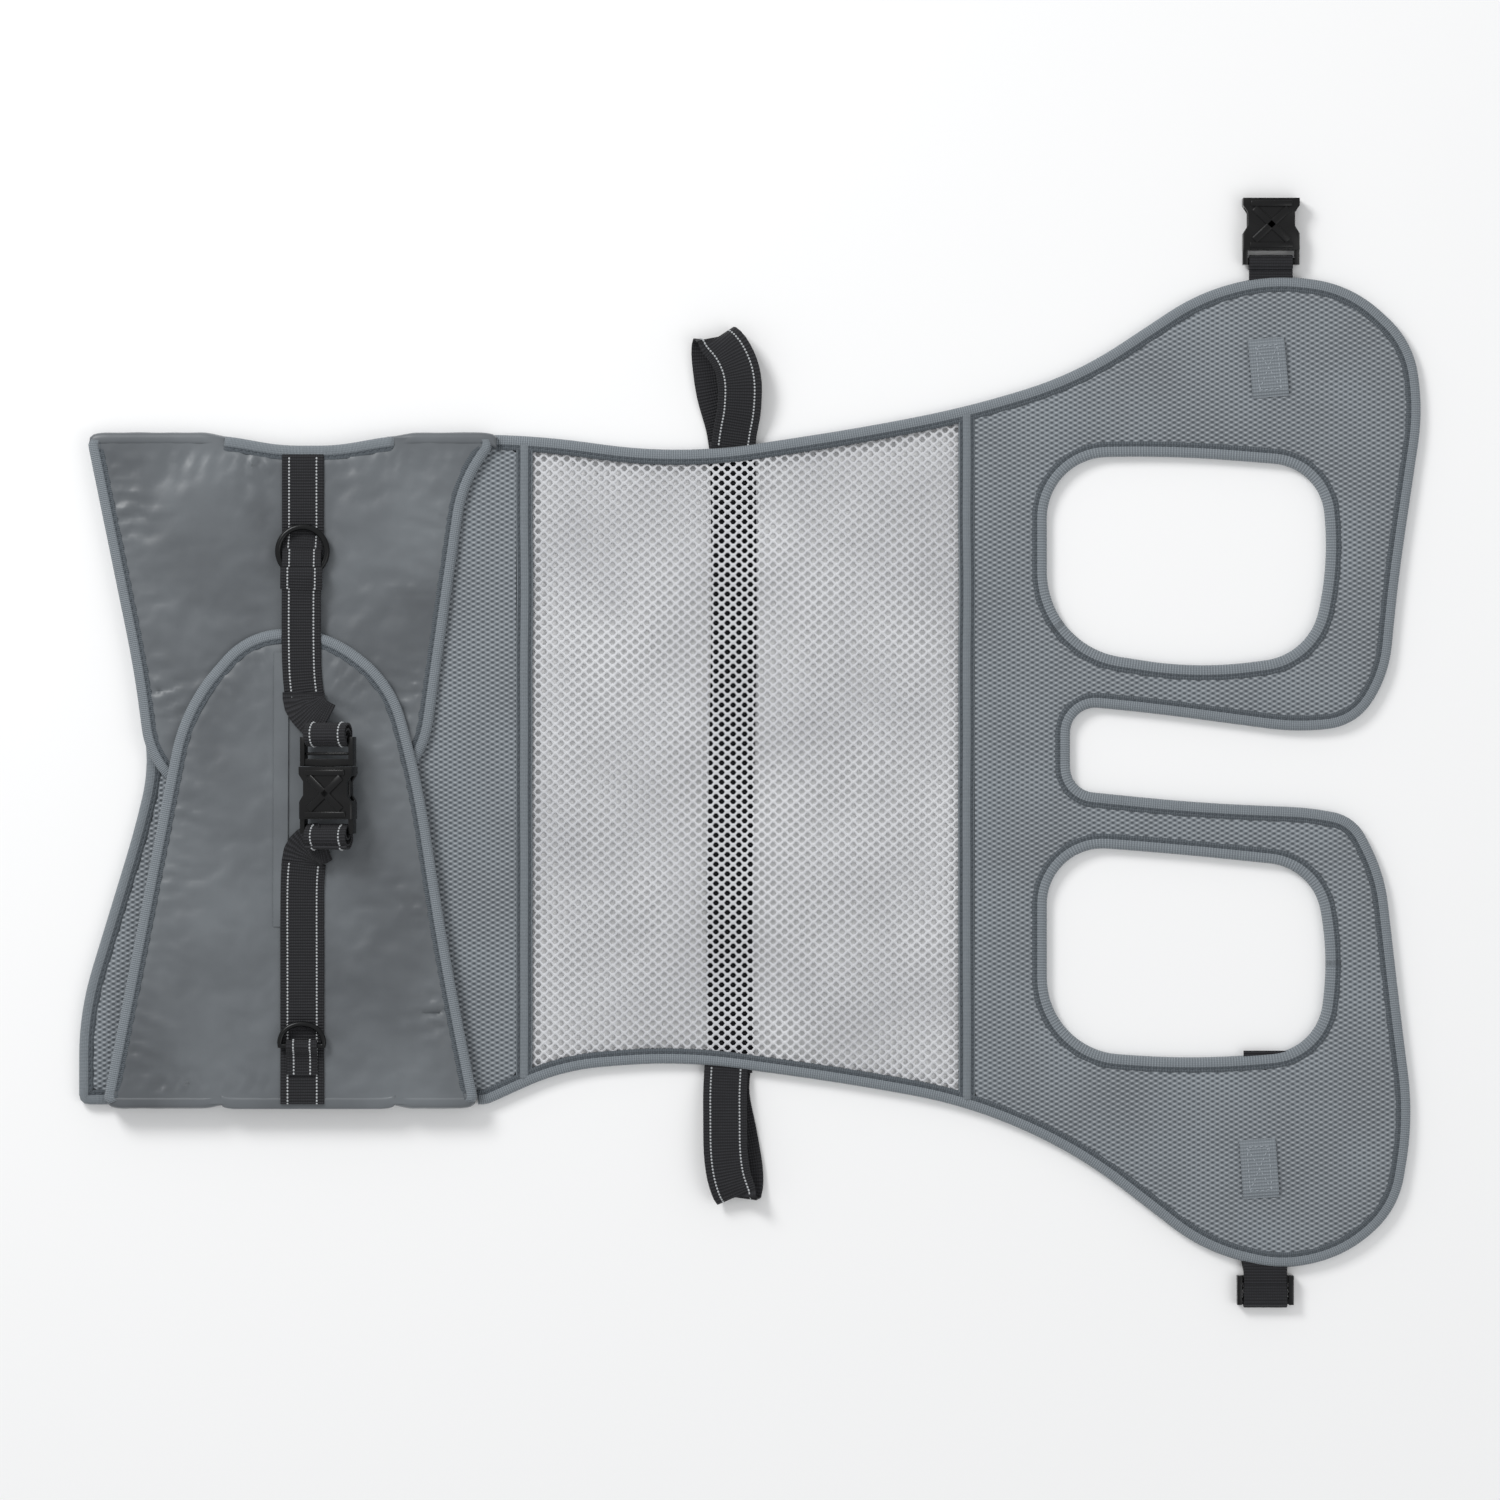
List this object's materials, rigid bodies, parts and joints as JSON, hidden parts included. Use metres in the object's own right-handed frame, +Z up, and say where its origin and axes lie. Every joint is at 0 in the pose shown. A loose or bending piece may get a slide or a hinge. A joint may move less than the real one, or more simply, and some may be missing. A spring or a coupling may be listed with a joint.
{
  "type": "pet lifting harness",
  "caption": "Soft full-body lifting harness for a dog, laid flat: padded chest flaps buckled over the base, open mesh belly window, two leg holes, side handles.",
  "frame": {"origin": "middle of the bounding box, on the surface the carrier lies on", "axes": "+X runs along the carrier from the chest end to the hip end, +Y across it, +Z up from the table"},
  "size_m": [0.7369, 0.609, 0.0388],
  "materials": {
    "nylon_shell": "smooth woven nylon, slight sheen",
    "foam": "soft foam",
    "air_mesh": "knitted air mesh",
    "honeycomb_mesh": "open honeycomb knit",
    "binding_tape": "woven binding tape",
    "tab_webbing": "woven tape",
    "black_webbing": "ribbed webbing with reflective stitching",
    "ring_metal": "black coated steel, satin",
    "buckle_plastic": "moulded acetal, satin"
  },
  "bodies": {
    "carrier_base": {"chest_shell": "nylon_shell", "chest_foam": "foam", "chest_lining": "air_mesh", "hip_shell": "nylon_shell", "hip_foam": "foam", "hip_lining": "air_mesh", "belly_mesh": "honeycomb_mesh", "front_seam_tape": "binding_tape", "rear_seam_tape": "binding_tape", "chest_upper_binding": "binding_tape", "chest_lower_binding": "binding_tape", "window_upper_binding": "binding_tape", "window_lower_binding": "binding_tape", "hip_upper_binding": "binding_tape", "hip_lower_binding": "binding_tape", "upper_leg_binding": "binding_tape", "lower_leg_binding": "binding_tape", "belly_strap": "black_webbing", "upper_lobe_strap": "black_webbing", "lower_lobe_strap": "black_webbing", "upper_lobe_tab": "tab_webbing", "lower_lobe_tab": "tab_webbing"},
    "upper_flap": {"upper_flap_shell": "nylon_shell", "upper_flap_foam": "foam", "upper_flap_lining": "air_mesh", "upper_flap_binding": "binding_tape", "upper_flap_strap": "black_webbing"},
    "lower_flap": {"lower_flap_shell": "nylon_shell", "lower_flap_foam": "foam", "lower_flap_lining": "air_mesh", "lower_flap_binding": "binding_tape", "lower_flap_strap": "black_webbing", "free_strap": "black_webbing", "d_ring_tab": "black_webbing", "centre_socket": "buckle_plastic", "socket_web_roll": "black_webbing"},
    "o_ring": {"o_ring": "ring_metal"},
    "d_ring": {"d_ring": "ring_metal"},
    "centre_plug": {"centre_plug": "buckle_plastic", "plug_web_roll": "black_webbing"},
    "centre_left_latch": {"centre_plug_left_arm": "buckle_plastic"},
    "centre_right_latch": {"centre_plug_right_arm": "buckle_plastic"},
    "upper_handle": {"upper_handle": "black_webbing"},
    "lower_handle": {"lower_handle": "black_webbing"},
    "lobe_socket": {"lobe_socket": "buckle_plastic"},
    "lobe_plug": {"lobe_plug": "buckle_plastic"},
    "lobe_left_latch": {"lobe_plug_left_arm": "buckle_plastic"},
    "lobe_right_latch": {"lobe_plug_right_arm": "buckle_plastic"}
  },
  "joints": [
    {"name": "lower_flap_fold", "type": "hinge", "parent": "carrier_base", "child": "lower_flap", "pos_m": [-0.245, -0.1933, 0.0076], "axis": [1, 0, 0], "range_deg": [0, 170]},
    {"name": "upper_flap_fold", "type": "hinge", "parent": "carrier_base", "child": "upper_flap", "pos_m": [-0.245, 0.1743, 0.0053], "axis": [1, 0, 0], "range_deg": [-102, 0]},
    {"name": "o_ring_swing", "type": "hinge", "parent": "upper_flap", "child": "o_ring", "pos_m": [-0.245, 0.1238, 0.0149], "axis": [-1, 0, 0], "range_deg": [0, 160]},
    {"name": "d_ring_swing", "type": "hinge", "parent": "lower_flap", "child": "d_ring", "pos_m": [-0.245, -0.16, 0.0196], "axis": [1, 0, 0], "range_deg": [0, 165]},
    {"name": "centre_plug_pull", "type": "slide", "parent": "lower_flap", "child": "centre_plug", "axis": [0, 1, 0], "range_m": [0, 0.038]},
    {"name": "centre_left_squeeze", "type": "slide", "parent": "centre_plug", "child": "centre_left_latch", "axis": [0.9511, 0, 0.309], "range_m": [0, 0.0025], "stiffness_N_per_m": 600},
    {"name": "centre_right_squeeze", "type": "slide", "parent": "centre_plug", "child": "centre_right_latch", "axis": [-0.9511, 0, -0.309], "range_m": [0, 0.0025], "stiffness_N_per_m": 600},
    {"name": "upper_handle_lift", "type": "hinge", "parent": "carrier_base", "child": "upper_handle", "pos_m": [-0.01, 0.1693, 0.0065], "axis": [1, 0, 0], "range_deg": [0, 140]},
    {"name": "lower_handle_lift", "type": "hinge", "parent": "carrier_base", "child": "lower_handle", "pos_m": [-0.01, -0.1743, 0.0065], "axis": [-1, 0, 0], "range_deg": [0, 140]},
    {"name": "lobe_socket_swing", "type": "hinge", "parent": "carrier_base", "child": "lobe_socket", "pos_m": [0.286, 0.27, 0.0048], "axis": [1, 0, 0], "range_deg": [-80, 110]},
    {"name": "lobe_plug_swing", "type": "hinge", "parent": "carrier_base", "child": "lobe_plug", "pos_m": [0.283, -0.301, 0.0038], "axis": [-1, 0, 0], "range_deg": [0, 170]},
    {"name": "lobe_left_squeeze", "type": "slide", "parent": "lobe_plug", "child": "lobe_left_latch", "axis": [1, 0, 0], "range_m": [0, 0.0025], "stiffness_N_per_m": 600},
    {"name": "lobe_right_squeeze", "type": "slide", "parent": "lobe_plug", "child": "lobe_right_latch", "axis": [-1, 0, 0], "range_m": [0, 0.0025], "stiffness_N_per_m": 600}
  ],
  "couplings": [
    {"joint": "upper_flap_fold", "follows": "lower_flap_fold", "ratio": -0.6},
    {"joint": "centre_right_squeeze", "follows": "centre_left_squeeze", "ratio": 1},
    {"joint": "lobe_right_squeeze", "follows": "lobe_left_squeeze", "ratio": 1}
  ]
}
